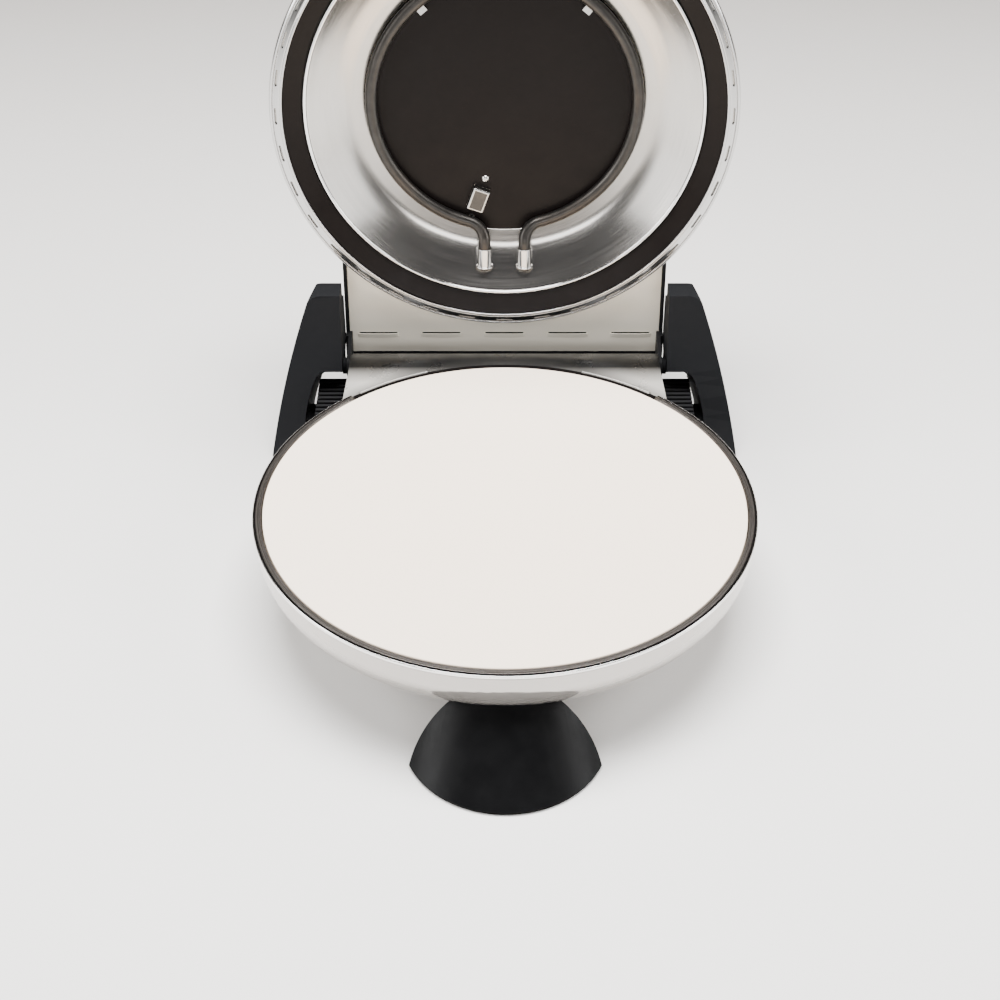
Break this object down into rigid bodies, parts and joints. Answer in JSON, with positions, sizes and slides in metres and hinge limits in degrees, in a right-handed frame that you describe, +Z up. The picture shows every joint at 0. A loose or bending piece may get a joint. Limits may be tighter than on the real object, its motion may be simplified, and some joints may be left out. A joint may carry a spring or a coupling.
{
  "type": "tabletop stone oven",
  "caption": "Round clamshell tabletop oven: a baking stone in a bowl base, and a domed lid with a heater ring that swings back on two rear hinge pins.",
  "frame": {"origin": "centre of the oven's outline in plan, at table level", "axes": "+Z up, out of the baking stone; +Y towards the rear hinge; +X to the oven's side"},
  "size_m": [0.3366, 0.5075, 0.4355],
  "materials": {
    "shell_paint": "high gloss, warm metallic cream",
    "deck_paint": "high gloss, warm metallic cream",
    "rim_steel": "brushed",
    "trim_steel": "polished",
    "stone": "matt, fine pores",
    "reflector_metal": "satin, slightly heat tinted",
    "heater_sheath": "matt, heat darkened",
    "ferrule_metal": "polished",
    "clip_metal": "plain",
    "insulation": "felted mineral wool",
    "cover_steel": "grey",
    "screw_metal": "plain",
    "black_plastic": "fine texture",
    "foot_rubber": "matt",
    "terminal_plastic": "plain",
    "brown_enamel": "satin heat-proof enamel",
    "cap_metal": "plain",
    "thermostat_ceramic": "unglazed",
    "bush_nylon": "self-lubricating nylon",
    "lamp_lens": "clear orange",
    "knob_plastic": "satin"
  },
  "bodies": {
    "base": {"base_bowl": "shell_paint", "rim_ring": "rim_steel", "baking_stone": "stone", "lower_reflector": "reflector_metal", "lower_heater": "heater_sheath", "lower_heater_ferrules": "ferrule_metal", "lower_heater_clips": "clip_metal", "lower_insulation": "insulation", "bottom_cover": "cover_steel", "bottom_screws": "screw_metal", "front_foot": "black_plastic", "front_foot_pad": "foot_rubber", "rear_foot_pads": "foot_rubber", "left_tower": "black_plastic", "right_tower": "black_plastic", "tower_screws": "screw_metal", "rear_deck": "deck_paint", "rear_housing": "black_plastic", "housing_base_plate": "black_plastic", "housing_screws": "screw_metal", "terminal_block": "terminal_plastic", "cord_gland": "foot_rubber", "hinge_pins": "screw_metal", "pin_clips": "clip_metal"},
    "lid": {"lid_shell": "shell_paint", "lid_trim_ring": "trim_steel", "lid_black_ring": "brown_enamel", "lid_reflector": "reflector_metal", "center_plate": "brown_enamel", "upper_heater": "heater_sheath", "upper_heater_ferrules": "ferrule_metal", "upper_heater_clips": "clip_metal", "lid_insulation": "insulation", "limit_thermostat_cap": "cap_metal", "limit_thermostat_body": "thermostat_ceramic", "limit_thermostat_screws": "screw_metal", "hinge_cover_plate": "deck_paint", "lid_rear_cover": "black_plastic", "rear_cover_screws": "screw_metal", "left_hinge_arm": "black_plastic", "right_hinge_arm": "black_plastic", "hinge_bushes": "bush_nylon", "lid_handle": "black_plastic", "pilot_lamp": "lamp_lens", "thermostat_body": "terminal_plastic"},
    "knob": {"thermostat_shaft": "screw_metal", "thermostat_knob": "knob_plastic"}
  },
  "joints": [
    {"name": "lid_hinge", "type": "hinge", "parent": "base", "child": "lid", "pos_m": [0, 0.1288, 0.055], "axis": [1, 0, 0], "range_deg": [0, 94]},
    {"name": "thermostat_turn", "type": "hinge", "parent": "lid", "child": "knob", "pos_m": [0, 0.20952, 0.39219], "axis": [0, 0.8192, 0.5736], "range_deg": [0, 270]}
  ]
}
